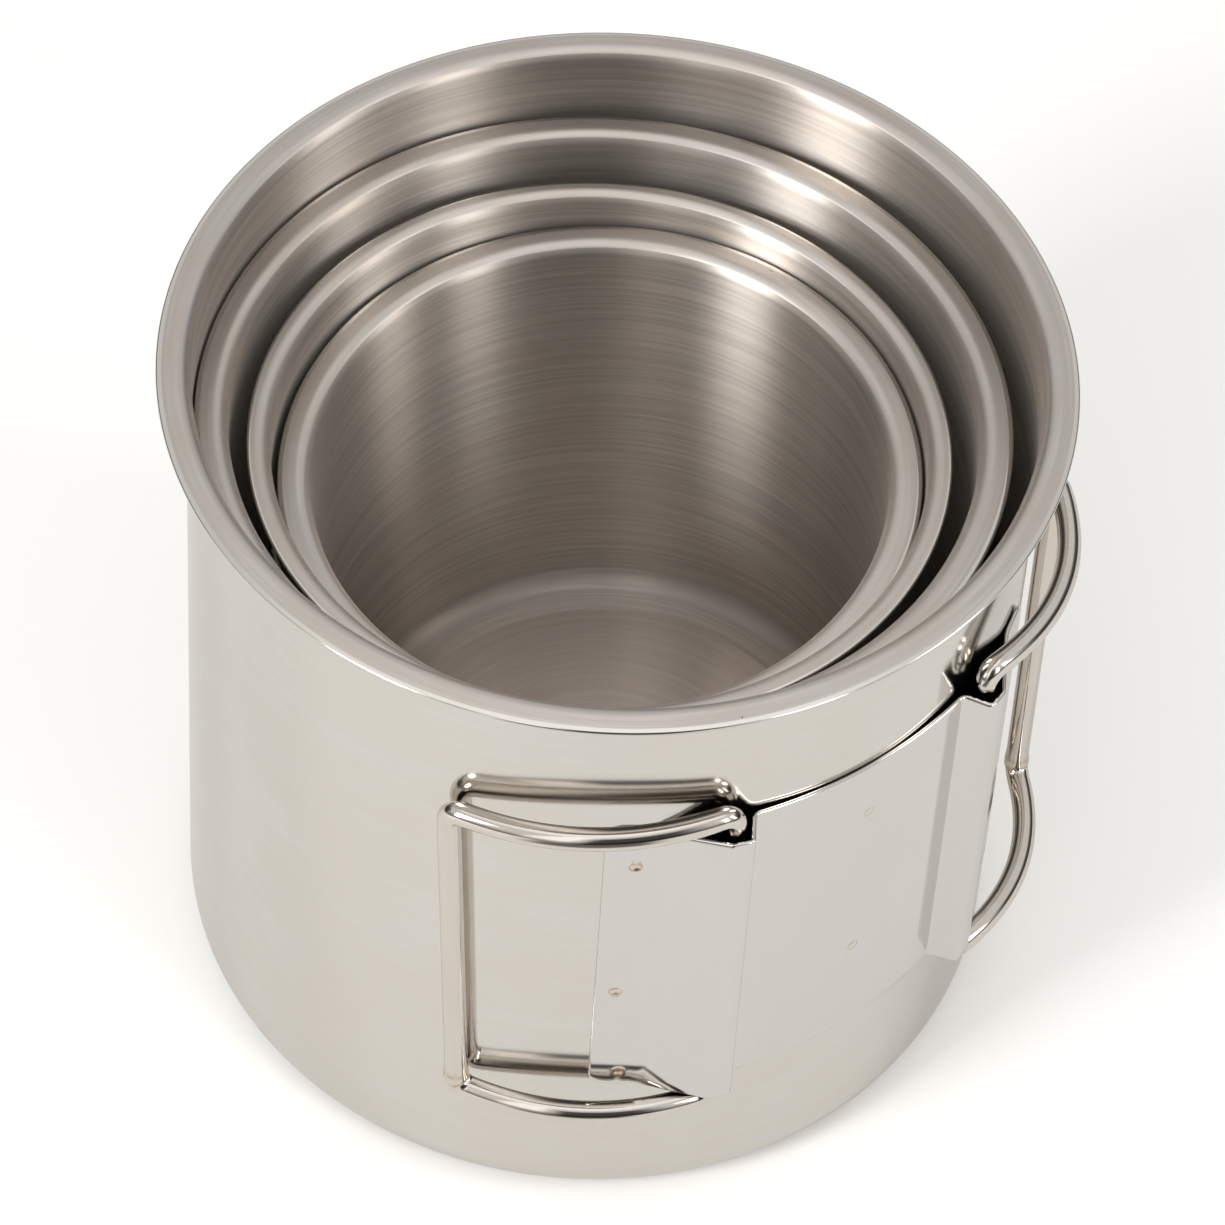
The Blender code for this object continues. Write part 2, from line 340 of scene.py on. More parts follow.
LINE_LENGTH = 30.0 * MM
COARSE_LENGTH = 18.0 * MM
STREAK_LENGTH = 34.0 * MM
STREAK_WIDTH = 0.55 * MM
STREAK_RANGE = (0.36, 0.64)  # of the noise: from clear steel to worn steel
BLOTCH_SIZE = 11.0 * MM
SHADE_RANGE = (0.35, 0.65)
WARMING = (0.6, 1.0, 1.5)  # how much warm steel loses of red, green and blue
SPECK_SIZE = 0.9 * MM
SPECK_LEVEL = 0.80  # of the noise, with no specks
SPECK_SPREAD = 0.12  # how much lower with all specks
SPECK_EDGE = 0.03
SPECK_PATCHES = (0.45, 0.62)
SPECK_DULLS = 0.4
DARK_RESIDUE = (0.10, 0.085, 0.075)
HEAT_PATCH = 0.5 * MM
HEAT_PATCH_RANGE = (0.2, 0.6, 0.35, 1.0)
HEAT_STRAW = (0.50, 0.36, 0.20)
HEAT_STRAW_RANGE = (0.1, 0.6)
HEAT_BROWN = (0.20, 0.12, 0.075)
HEAT_BROWN_RANGE = (0.55, 1.0)
HEAT_DULLS = 0.3


def steel(name, finish, along="turned", marked=False):
    """Stainless steel whose lines run round the cup's axis, or along the sheet's width or height."""
    material = bpy.data.materials.new(name)
    material.use_nodes = True
    tree = material.node_tree
    tree.nodes.clear()
    shader = Shader(tree)
    place = shader.node("ShaderNodeTexCoord").outputs["Object"]
    split = shader.node("ShaderNodeSeparateXYZ", {"Vector": place})
    x, y, z = split.outputs
    squares = shader.total(shader.times(x, x), shader.times(y, y))
    radius = shader.math("SQRT", squares)
    across = shader.math("SUBTRACT", radius, z)

    def lines(length, width, detail, roughness):
        if along == "turned":
            vector = shader.vector(
                shader.math("DIVIDE", x, length),
                shader.math("DIVIDE", y, length),
                shader.math("DIVIDE", across, width))
        else:
            vector = shader.vector(
                shader.math("DIVIDE", x, width),
                shader.math("DIVIDE", y, width),
                shader.math("DIVIDE", z, length))
        return shader.noise(vector, detail, roughness)

    def clouds(size, detail=2.0):
        scaled = shader.node("ShaderNodeVectorMath", {0: place, 3: 1.0 / size}, operation="SCALE")
        return shader.noise(scaled.outputs[0], detail)

    fine = lines(LINE_LENGTH, finish.line_width, 3.0, 0.65)
    coarse = lines(COARSE_LENGTH, finish.coarse_width, 2.0, 0.5)
    blotch = clouds(BLOTCH_SIZE)
    height = shader.times(fine, finish.line_height)
    if finish.coarse_height:
        height = shader.total(height, shader.times(coarse, finish.coarse_height))
    if finish.grain_height:
        grain = clouds(finish.grain_size, 3.0)
        height = shader.total(height, shader.times(grain, finish.grain_height))
    if finish.wave_height:
        wave = clouds(finish.wave_size, 1.0)
        height = shader.total(height, shader.times(wave, finish.wave_height))
    darker = tuple(channel * (1.0 - finish.warm_change * weight)
                   for channel, weight in zip(finish.colour, WARMING))
    shade = shader.total(shader.times(coarse, 0.5), shader.times(blotch, 0.5))
    colour = shader.tint(shader.ramp(shade, *SHADE_RANGE), finish.colour, darker)
    roughness = shader.total(
        finish.roughness - finish.roughness_change / 2,
        shader.times(shade, finish.roughness_change))
    if finish.streaks:
        stroke = lines(STREAK_LENGTH, STREAK_WIDTH, 3.0, 0.75)
        worn = tuple(channel * (1.0 - finish.streaks) for channel in finish.colour)
        colour = shader.tint(shader.ramp(stroke, *STREAK_RANGE), colour, worn)
        height = shader.total(height, shader.times(stroke, finish.streak_height))
    if finish.specks:
        seed = clouds(SPECK_SIZE, 4.0)
        where = shader.ramp(blotch, *SPECK_PATCHES)
        edge = SPECK_LEVEL - SPECK_SPREAD * finish.specks
        speck = shader.times(shader.ramp(seed, edge, edge + SPECK_EDGE), where)
        colour = shader.tint(speck, colour, DARK_RESIDUE)
        roughness = shader.total(roughness, shader.times(speck, SPECK_DULLS))
    if marked:
        mark = shader.node("ShaderNodeAttribute", attribute_name="mark").outputs["Fac"]
        patchy = shader.times(mark, shader.ramp(clouds(HEAT_PATCH, 3.0), *HEAT_PATCH_RANGE))
        colour = shader.tint(shader.ramp(patchy, *HEAT_STRAW_RANGE), colour, HEAT_STRAW)
        colour = shader.tint(shader.ramp(patchy, *HEAT_BROWN_RANGE), colour, HEAT_BROWN)
        roughness = shader.total(roughness, shader.times(patchy, HEAT_DULLS))
    bump = shader.node("ShaderNodeBump", {"Strength": 1.0, "Distance": 1.0, "Height": height})
    inputs = {
        "Base Color": colour,
        "Metallic": 1.0,
        "Roughness": roughness,
        "Normal": bump.outputs[0],
    }
    if finish.anisotropy:
        tangent = shader.node("ShaderNodeTangent", direction_type="RADIAL", axis="Z")
        inputs["Anisotropic"] = finish.anisotropy
        inputs["Anisotropic Rotation"] = 0.25  # of a turn: the lines run round the axis
        inputs["Tangent"] = tangent.outputs[0]
    surface = shader.node("ShaderNodeBsdfPrincipled", inputs)
    shader.node("ShaderNodeOutputMaterial", {"Surface": surface.outputs[0]})
    return material


OUTSIDE, LIP, INSIDE, FLOOR, UNDERSIDE = range(5)

SHELL_STEEL = [
    steel("steel_outside_polished", Finish(
        (0.69, 0.67, 0.64), 0.11, line_height=0.12 * MICRON, wave_height=7.0 * MICRON,
        roughness_change=0.04, warm_change=0.04)),
    steel("steel_lip_satin", Finish(
        (0.62, 0.585, 0.555), 0.40, anisotropy=0.3, line_height=1.2 * MICRON, line_width=0.10 * MM,
        grain_height=7.0 * MICRON, specks=0.5, streaks=0.14, roughness_change=0.12, warm_change=0.12)),
    steel("steel_inside_brushed", Finish(
        (0.625, 0.575, 0.53), 0.42, anisotropy=1.0, line_height=1.0 * MICRON,
        streaks=0.22, streak_height=5.0 * MICRON, roughness_change=0.08, warm_change=0.08)),
    steel("steel_floor_spun", Finish(
        (0.74, 0.665, 0.62), 0.34, anisotropy=0.8, line_height=1.4 * MICRON,
        coarse_height=3.0 * MICRON, coarse_width=1.6 * MM, streaks=0.12, roughness_change=0.08,
        warm_change=0.08)),
    steel("steel_underside_spun", Finish(
        (0.64, 0.61, 0.58), 0.26, anisotropy=0.6, line_height=1.6 * MICRON,
        coarse_height=5.0 * MICRON, specks=0.2, streaks=0.15, roughness_change=0.1, warm_change=0.08)),
]
BRACKET_STEEL = steel("steel_bracket_polished", Finish(
    (0.68, 0.665, 0.645), 0.09, line_height=0.04 * MICRON, wave_height=4.0 * MICRON,
    wave_size=9.0 * MM, specks=0.1, roughness_change=0.03, warm_change=0.02),
    along="sheet", marked=True)
WIRE_STEEL = steel("steel_wire_polished", Finish(
    (0.68, 0.645, 0.605), 0.10, line_height=0.3 * MICRON, grain_height=0.5 * MICRON,
    grain_size=0.25 * MM, roughness_change=0.06, warm_change=0.05),
    along="sheet", marked=True)


# Cup shells

def shell_outline(cup):
    """The shell's section from the underside's centre out, up, over the lip and back to the floor's
    centre, as (point, zone of the stretch that starts there)."""
    outer = cup.body_radius
    inner = outer - SHEET
    corner = Vector((outer - cup.base_corner, cup.base_corner))
    bend = Vector((outer - SHEET / 2 + LIP_BEND_RADIUS, cup.height - SHEET / 2 - LIP_BEND_RADIUS))
    over = 90.0 - LIP_DROOP
    fall = Vector((math.cos(math.radians(LIP_DROOP)), -math.sin(math.radians(LIP_DROOP))))
    top = arc(bend, LIP_BEND_RADIUS + SHEET / 2, 180.0, over, LIP_STEPS["over"])
    under = arc(bend, LIP_BEND_RADIUS - SHEET / 2, 180.0, over, LIP_STEPS["under"])
    inwards = top[::-1]
    edge_radius = SHEET / 2
    middle = (top[-1] + under[-1]) / 2
    run = (cup.rim_radius - edge_radius - middle.x) / fall.x
    edge = middle + fall * run
    outline = []

    def stretch(points, zone):
        outline.extend((point, zone) for point in points)

    underside_middle = Vector((0.0, 0.0))
    underside_edge = Vector((corner.x, 0.0))
    floor_middle = Vector((0.0, SHEET))
    floor_edge = Vector((corner.x, SHEET))
    edge_top = edge + Vector((-fall.y, fall.x)) * edge_radius
    stretch([underside_middle], UNDERSIDE)
    stretch(straight(underside_middle, underside_edge, BASE_STEPS), UNDERSIDE)
    stretch(arc(corner, cup.base_corner, -90.0, 0.0, CORNER_STEPS["outer"]), OUTSIDE)
    stretch(straight(Vector((outer, corner.y)), under[0], WALL_STEPS), OUTSIDE)
    stretch(under, OUTSIDE)
    stretch(arc(edge, edge_radius, -90.0 - LIP_DROOP, 90.0 - LIP_DROOP, LIP_STEPS["edge"]), OUTSIDE)
    stretch(straight(edge_top, inwards[0], LIP_STEPS["flat"]), LIP)
    stretch(inwards[:SATIN_STEPS], LIP)
    stretch(inwards[SATIN_STEPS:], INSIDE)
    stretch(straight(inwards[-1], Vector((inner, corner.y)), WALL_STEPS), INSIDE)
    stretch(arc(corner, cup.base_corner - SHEET, 0.0, -90.0, CORNER_STEPS["inner"]), INSIDE)
    stretch(straight(floor_edge, floor_middle, BASE_STEPS), FLOOR)
    stretch([floor_middle], FLOOR)
    return outline


def wall_wave(cup, point):
    """Small radial error of the drawn wall, faded out at the base and the lip."""
    level = point.z / cup.height
    middle = smoothstep(*WALL_WAVE_STARTS, level) * (1.0 - smoothstep(*WALL_WAVE_ENDS, level))
    seed = Vector((0.0, 0.0, cup.height * WALL_WAVE_SEED))
    return WALL_WAVE * middle * noise.noise((point + seed) / WALL_WAVE_LENGTH)


def build_shell(cup):
    outline = shell_outline(cup)
    vertices = []
    rings = []
    for point, _ in outline:
        if point.x == 0.0:
            rings.append([len(vertices)])
            vertices.append(Vector((0.0, 0.0, point.y)))
            continue
        ring = []
        for step in range(TURNS):
            place = around(360.0 * step / TURNS, point.x, point.y)
            place += Vector((place.x, place.y, 0.0)).normalized() * wall_wave(cup, place)
            ring.append(len(vertices))
            vertices.append(place)
        rings.append(ring)
    faces = []
    zones = []
    for (_, zone), low, high in zip(outline, rings, rings[1:]):
        for step in range(TURNS):
            after = (step + 1) % TURNS
            if len(low) == 1:
                faces.append((low[0], high[after], high[step]))
            elif len(high) == 1:
                faces.append((low[step], low[after], high[0]))
            else:
                faces.append((low[step], low[after], high[after], high[step]))
            zones.append(zone)
    add_piece(cup.name + "_cup", vertices, faces, zones, SHELL_STEEL, cup,
              cup.name + "_cup_shell", cup.name + "_cup")


# Brackets

@dataclass
class Weld:
    """A spot weld on a bracket: where it is, and how burnt."""

    side: float  # degrees from the bracket's middle
    height: float  # share of the cup's height
    burn: float


WELDS = (
    Weld(-32.6, 0.703, 0.55),
    Weld(-34.0, 0.454, 0.5),
    Weld(-32.8, 0.285, 1.0),
    Weld(0.5, 0.689, 0.4),
    Weld(0.5, 0.420, 0.45),
    Weld(33.1, 0.703, 0.5),
    Weld(34.0, 0.454, 0.5),
    Weld(33.3, 0.295, 0.7),
)


def rounded(before, corner, after, radius, steps):
    """Points of the arc that rounds a corner."""
    back = (before - corner).normalized()
    ahead = (after - corner).normalized()
    half = back.angle(ahead) / 2
    centre = corner + (back + ahead).normalized() * (radius / math.sin(half))
    first = corner + back * (radius / math.tan(half)) - centre
    last = corner + ahead * (radius / math.tan(half)) - centre
    sweep = math.pi - 2 * half
    points = []
    for step in range(steps + 1):
        angle = sweep * step / steps
        points.append(centre + first * (math.sin(sweep - angle) / math.sin(sweep))
                      + last * (math.sin(angle) / math.sin(sweep)))
    return points


def bracket_half(cup):
    """Midline of the bracket's right half, unrolled, from its middle to its end."""
    hinge = cup.body_radius * math.radians(cup.channel_angle)
    end = cup.body_radius * math.radians(cup.flange_angle)
    touching = BRACKET_SEAT + SHEET / 2
    crown = CHANNEL_ROOM + cup.wire_radius + SHEET / 2
    foot = hinge - cup.wire_radius - PLATE_FOOT
    half_plate = foot - FOOT_BEND
    half = []
    for step in range(PLATE_STEPS + 1):
        share = step / PLATE_STEPS
        half.append(Vector((half_plate * share, touching + PLATE_LIFT * share ** 2)))
    corners = [
        Vector((0.0, half[-1].y)),
        Vector((foot, half[-1].y)),
        Vector((hinge - cup.wire_radius - PLATE_SHOULDER, crown)),
        Vector((hinge + FLANGE_SHOULDER, crown)),
        Vector((hinge + (end - hinge) * FLANGE_FOOT, touching)),
        Vector((end, touching)),
    ]
    bends = (FOOT_BEND, SHOULDER_BEND, SHOULDER_BEND, FLANGE_BEND)
    for before, corner, after, bend in zip(corners, corners[1:], corners[2:], bends):
        half += rounded(before, corner, after, bend, BEND_STEPS)
    start = half[-1]
    for step in range(1, FLANGE_STEPS + 1):
        share = step / FLANGE_STEPS
        along = start.x + (end - start.x) * (1.0 - (1.0 - share) ** FLANGE_CROWDING)
        half.append(Vector((along, touching)))
    return half


def refined(low, high, step, spots, reach, fine_step):
    """Stations from low to high, closer together near the spots."""
    stations = []
    here = low
    while here < high - LAST_GAP * step:
        stations.append(here)
        near = any(abs(here - spot) < reach for spot in spots)
        here += fine_step if near else step
    stations.append(high)
    return stations


def weld_at(cup, along, z):
    """(how far the sheet is pressed in, how burnt it is) at a place on the bracket."""
    press = 0.0
    burn = 0.0
    for weld in WELDS:
        aside = along - cup.body_radius * math.radians(weld.side)
        above = z - cup.height * weld.height
        reach = math.hypot(aside, above) / WELD_RADIUS
        if reach < WELD_REACH:
            ring = math.exp(-((reach - 1.0) / RING_WIDTH) ** 2)
            press += WELD_DEPTH * (math.exp(-(reach / DIMPLE_WIDTH) ** 4) - RING_RISE * ring)
            burn = max(burn, weld.burn * max(ring, BURN_MIDDLE * math.exp(-(reach / BURN_WIDTH) ** 2)))
    return press, burn


def point_along(points, station):
    """The polyline's point at this place along x."""
    index = 0
    while index < len(points) - 2 and points[index + 1].x < station:
        index += 1
    low, high = points[index], points[index + 1]
    return low.lerp(high, (station - low.x) / (high.x - low.x))


def bracket_midline(cup):
    """Midline of the whole bracket, unrolled, with extra points where the welds are."""
    half = bracket_half(cup)
    midline = [Vector((-point.x, point.y)) for point in half[:0:-1]] + half
    extra = []
    for weld in WELDS:
        spot = cup.body_radius * math.radians(weld.side)
        for step in range(-WELD_FINE_STEPS, WELD_FINE_STEPS + 1):
            station = spot + step * WELD_RADIUS * WELD_STEP
            apart = all(abs(station - point.x) > CLOSEST_STATIONS for point in midline + extra)
            if apart and abs(station) < half[-1].x - END_MARGIN:
                extra.append(point_along(midline, station))
    return sorted(midline + extra, key=lambda point: point.x)


def bracket_faces(loops, rows):
    """Faces between the section loops, and the two ends' faces. Rows count a section's front points."""
    faces = []
    count = len(loops[0])
    for here, there in zip(loops, loops[1:]):
        for step in range(count):
            after = (step + 1) % count
            faces.append((here[step], here[after], there[after], there[step]))
    for loop in (loops[0], loops[-1]):
        for row in range(rows - 1):
            back = count - EDGE_STEPS - row
            faces.append((loop[row], loop[row + 1], loop[back - 1], loop[back]))
        faces.append(tuple(loop[rows - 1:rows + EDGE_STEPS]))
        faces.append(tuple(loop[count - EDGE_STEPS:] + [loop[0]]))
    return faces


def sheet_edges(cup, along, end):
    """(half the sheet's thickness, its bottom and top) at a place along the bracket, which stops at end."""
    hinge = cup.body_radius * math.radians(cup.channel_angle)
    to_end = max(end - abs(along), 0.0)
    inset = 0.0
    if to_end < BRACKET_CORNER:
        inset = BRACKET_CORNER - math.sqrt(BRACKET_CORNER ** 2 - (BRACKET_CORNER - to_end) ** 2)
    round_off = 1.0 - min(to_end / (SHEET / 2), 1.0)
    half_sheet = SHEET / 2 * max(math.sqrt(1.0 - round_off ** 2), THINNEST_EDGE)
    to_wire = hinge - cup.wire_radius - abs(along)
    past_plate = 1.0 - smoothstep(PLATE_SHOULDER, PLATE_FOOT, to_wire)
    flange_lands = hinge + (end - hinge) * FLANGE_FOOT
    past_crown = smoothstep(hinge + FLANGE_SHOULDER, flange_lands, abs(along))
    bottom = cup.bracket_bottom + inset + half_sheet
    top = cup.bracket_top - inset - half_sheet - FLANGE_DROP * (past_plate + past_crown) / 2
    return half_sheet, bottom, top


def bracket_section(cup, middle, normal, end, shares):
    """One upright section round the sheet, as (point, how burnt it is) all the way round."""
    half_sheet, bottom, top = sheet_edges(cup, middle.x, end)
    section = []

    def put(offset, z, outside):
        press, burn = weld_at(cup, middle.x, z)
        if outside:
            offset -= press
        side = middle + normal * offset
        azimuth = cup.handle_azimuth + math.degrees(side.x / cup.body_radius)
        section.append((around(azimuth, cup.body_radius + side.y, z), burn if outside else 0.0))

    for share in shares:
        put(half_sheet, bottom + (top - bottom) * share, True)
    for step in range(1, EDGE_STEPS):
        angle = math.pi * step / EDGE_STEPS
        put(half_sheet * math.cos(angle), top + half_sheet * math.sin(angle), False)
    for share in shares[::-1]:
        put(-half_sheet, bottom + (top - bottom) * share, False)
    for step in range(1, EDGE_STEPS):
        angle = math.pi * step / EDGE_STEPS
        put(-half_sheet * math.cos(angle), bottom - half_sheet * math.sin(angle), False)
    return section


def build_bracket(cup):
    midline = bracket_midline(cup)
    end = midline[-1].x
    spots = [cup.height * weld.height for weld in WELDS]
    heights = refined(cup.bracket_bottom, cup.bracket_top, BRACKET_ROW, spots,
                      WELD_RADIUS * WELD_FINE_REACH, WELD_RADIUS * WELD_STEP)
    shares = [(z - heights[0]) / (heights[-1] - heights[0]) for z in heights]
    vertices = []
    marks = []
    loops = []
    for index, middle in enumerate(midline):
        before = midline[max(index - 1, 0)]
        after = midline[min(index + 1, len(midline) - 1)]
        tangent = (after - before).normalized()
        normal = Vector((-tangent.y, tangent.x))
        section = bracket_section(cup, middle, normal, end, shares)
        loops.append([len(vertices) + step for step in range(len(section))])
        vertices += [point for point, _ in section]
        marks += [burn for _, burn in section]
    faces = bracket_faces(loops, len(shares))
    add_piece(cup.name + "_bracket", vertices, faces, [0] * len(faces), [BRACKET_STEEL], cup,
              cup.name + "_handle_bracket", cup.name + "_cup", marks)


# Wire loops

def loop_stretches(cup, side):
    """The loop's four stretches before its corners are bent: lists of points, closed and in order."""
    standoff = LEG_STANDOFF.get(cup.name, {}).get(side, INNER_LEG_STANDOFF)
    bottom = cup.bracket_bottom - BOTTOM_LEG_DROP
    hinge_azimuth = cup.handle_azimuth + side * cup.channel_angle
    legs = []
    for hinge_z, bar_z, bar_angle in (
            (cup.bracket_top + TOP_LEG_RISE, cup.bracket_top + BAR_RISE, BAR_ANGLE_TOP),
            (bottom, bottom, BAR_ANGLE_BOTTOM)):
        hinge = around(hinge_azimuth, cup.hinge_radius, hinge_z)
        bar_radius = cup.body_radius + BAR_STANDOFF + cup.wire_radius
        bar = around(cup.handle_azimuth + side * bar_angle, bar_radius, bar_z)
        middle = (hinge + bar) / 2
        outward = Vector((middle.x, middle.y, 0.0))
        bow = cup.body_radius + standoff - outward.length
        outward.normalize()
        leg = []
        for step in range(LEG_STEPS + 1):
            share = step / LEG_STEPS
            leg.append(hinge.lerp(bar, share) + outward * (bow * 4 * share * (1 - share)))
        legs.append(leg)
    top_leg, bottom_leg = legs
    shares = [step / UPRIGHT_STEPS for step in range(UPRIGHT_STEPS + 1)]
    bar = [top_leg[-1].lerp(bottom_leg[-1], share) for share in shares]
    pin = [bottom_leg[0].lerp(top_leg[0], share) for share in shares]
    return [top_leg, bar, bottom_leg[::-1], pin]


def cut_back(points, distance):
    """The polyline without this distance at each end."""
    for _ in range(2):
        left = distance
        while (points[1] - points[0]).length < left:
            left -= (points[1] - points[0]).length
            points = points[1:]
        start = points[0] + (points[1] - points[0]).normalized() * left
        points = ([start] + points[1:])[::-1]
    return points


def bend_between(first, second, radius):
    """A smooth bend from the end of one stretch to the start of the next, without its ends."""
    leaving = (first[-1] - first[-2]).normalized()
    arriving = (second[1] - second[0]).normalized()
    reach = 4.0 / 3.0 * math.tan(leaving.angle(arriving) / 4.0) * radius
    a, b, c, d = first[-1], first[-1] + leaving * reach, second[0] - arriving * reach, second[0]
    points = []
    for step in range(1, LOOP_BEND_STEPS):
        t = step / LOOP_BEND_STEPS
        points.append(a * (1 - t) ** 3 + b * (3 * t * (1 - t) ** 2) + c * (3 * t * t * (1 - t)) + d * t ** 3)
    return points


def loop_path(cup, side):
    """(the wire's closed path at rest, where its butt weld is): at the foot of the outer bar."""
    stretches = [cut_back(points, LOOP_BEND) for points in loop_stretches(cup, side)]
    path = []
    for stretch, following in zip(stretches, stretches[1:] + stretches[:1]):
        path += stretch
        path += bend_between(stretch, following, LOOP_BEND)
    outer_bar = stretches[1]
    hinge = around(cup.handle_azimuth + side * cup.channel_angle, cup.hinge_radius)
    opening = Matrix.Rotation(-side * math.radians(cup.rest_opening[side]), 4, "Z")
    turned = Matrix.Translation(hinge) @ opening @ Matrix.Translation(-hinge)
    return [turned @ point for point in path], turned @ outer_bar[-1]


def build_loop(cup, side):
    path, bead_at = loop_path(cup, side)
    vertices = []
    marks = []
    rings = []
    count = len(path)
    tangents = [(path[(i + 1) % count] - path[i - 1]).normalized() for i in range(count)]
    first_across = tangents[0].orthogonal().normalized()
    across = first_across
    for index, (point, tangent) in enumerate(zip(path, tangents)):
        if index:
            across = tangents[index - 1].rotation_difference(tangent) @ across
        up = tangent.cross(across)
        reach = (point - bead_at).length / BEAD_LENGTH
        swell = BEAD_HEIGHT * math.exp(-reach ** 4)
        ring = []
        for step in range(WIRE_SIDES):
            angle = 2 * math.pi * step / WIRE_SIDES
            spoke = across * math.cos(angle) + up * math.sin(angle)
            lump = noise.noise((point + spoke * cup.wire_radius) / BEAD_LUMP)
            distance = cup.wire_radius + swell * (1.0 + BEAD_ROUGHNESS * lump)
            ring.append(len(vertices))
            vertices.append(point + spoke * distance)
            marks.append(BEAD_TINT * math.exp(-((reach - BEAD_TINT_PLACE) / BEAD_TINT_WIDTH) ** 2))
        rings.append(ring)
    first_up = tangents[0].cross(first_across)
    closing = tangents[-1].rotation_difference(tangents[0]) @ across
    twist = math.atan2(closing.dot(first_up), closing.dot(first_across))
    shift = round(twist / (2 * math.pi) * WIRE_SIDES)
    faces = []
    for index, ring in enumerate(rings):
        after_ring = rings[(index + 1) % count]
        offset = shift if index == count - 1 else 0
        for step in range(WIRE_SIDES):
            after = (step + 1) % WIRE_SIDES
            opposite = (step + offset) % WIRE_SIDES
            opposite_after = (after + offset) % WIRE_SIDES
            faces.append((ring[step], ring[after], after_ring[opposite_after], after_ring[opposite]))
    word = "right" if side > 0 else "left"
    add_piece(f"{cup.name}_{word}_wire", vertices, faces, [0] * len(faces), [WIRE_STEEL], cup,
              f"{cup.name}_handle_{word}_loop", f"{cup.name}_{word}_loop", marks)


# Studio

CAMERA_SENSOR = 36.0  # millimetres, as is the lens
CAMERA_LENS = 190.5
CAMERA_BACK = 9.187  # in rim radii from the large cup's axis
CAMERA_RISE = 10.586  # in rim radii above its rim
CAMERA_PITCH = 51.23  # degrees below level
CAMERA_YAW = 0.15
CAMERA_ROLL = 4.12
CAMERA_CLIP = (0.01, 50.0)


def build_camera(cup):
    data = bpy.data.cameras.new("camera")
    data.sensor_width = CAMERA_SENSOR
    data.lens = CAMERA_LENS
    data.clip_start, data.clip_end = CAMERA_CLIP
    camera = bpy.data.objects.new("camera", data)
    bpy.context.scene.collection.objects.link(camera)
    back = CAMERA_BACK * cup.rim_radius
    rise = CAMERA_RISE * cup.rim_radius
    place = Matrix.Translation((0.0, -back, cup.height + rise))
    yaw = Matrix.Rotation(math.radians(-CAMERA_YAW), 4, "Z")
    pitch = Matrix.Rotation(math.radians(90.0 - CAMERA_PITCH), 4, "X")
    roll = Matrix.Rotation(math.radians(CAMERA_ROLL), 4, "Z")
    camera.matrix_world = place @ yaw @ pitch @ roll
    bpy.context.scene.camera = camera


@dataclass
class Softbox:
    """An upright light that faces the set."""

    name: str
    azimuth: float
    elevation: float
    width: float
    height: float
    radiance: float
    colour: tuple


SOFTBOXES = (
    Softbox("softbox_left", -49.0, 29.0, 0.24, 0.44, 15.5, (1.0, 0.99, 0.975)),
    Softbox("softbox_right", 46.0, 29.0, 0.20, 0.44, 6.5, (1.0, 0.98, 0.96)),
    Softbox("softbox_side", 79.0, 27.0, 0.20, 0.42, 5.5, (1.0, 0.98, 0.96)),
)
SOFTBOX_DISTANCE = 0.95
SOFTBOX_TARGET = (0.0, 0.0, 0.05)


def build_softbox(box):
    data = bpy.data.lights.new(box.name, "AREA")
    data.shape = "RECTANGLE"
    data.size = box.width
    data.size_y = box.height
    data.energy = math.pi * box.width * box.height * box.radiance
    data.color = box.colour
    light = bpy.data.objects.new(box.name, data)
    bpy.context.scene.collection.objects.link(light)
    elevation = math.radians(box.elevation)
    direction = around(box.azimuth, math.cos(elevation), math.sin(elevation))
    light.location = Vector(SOFTBOX_TARGET) + direction * SOFTBOX_DISTANCE
    light.rotation_mode = "QUATERNION"
    light.rotation_quaternion = direction.to_track_quat("Z", "Y")
    light.visible_camera = False


# The room's brightness, and where it changes. Left, right and curtain sides are azimuths, and the
# curtain is on both sides. Tops, the horizon and the ceiling are sines of elevations.
ROOM_BACK = 0.75
ROOM_SIDES = 0.78
ROOM_FRONT = 0.76
ROOM_CEILING = 1.25
ROOM_COLOUR = (1.0, 0.985, 0.96, 1.0)
BACKDROP_COLOUR = (1.0, 1.0, 1.0, 1.0)
SIDES_START = (-0.8, 0.1)  # cosine of the azimuth: -1 at the back, 1 in front
FRONT_START = (0.70, 0.92)
PERSON_LEFT = (-8.0, -3.0)
PERSON_RIGHT = (22.0, 36.0)
PERSON_TOP = (0.70, 0.84)
PERSON_DIMS = 0.90
CURTAIN_FRONT = (88.0, 98.0)
CURTAIN_BACK = (140.0, 165.0)
CURTAIN_TOP = (0.35, 0.55)
CURTAIN_DIMS = 0.80
STRIP_LEFT = (-27.0, -22.0)
STRIP_RIGHT = (-12.0, -8.0)
STRIP_BRIGHTENS = 0.9
HORIZON = (0.08, 0.50)
HORIZON_LIGHT = 0.30  # of the room's
CEILING_START = (0.84, 0.97)


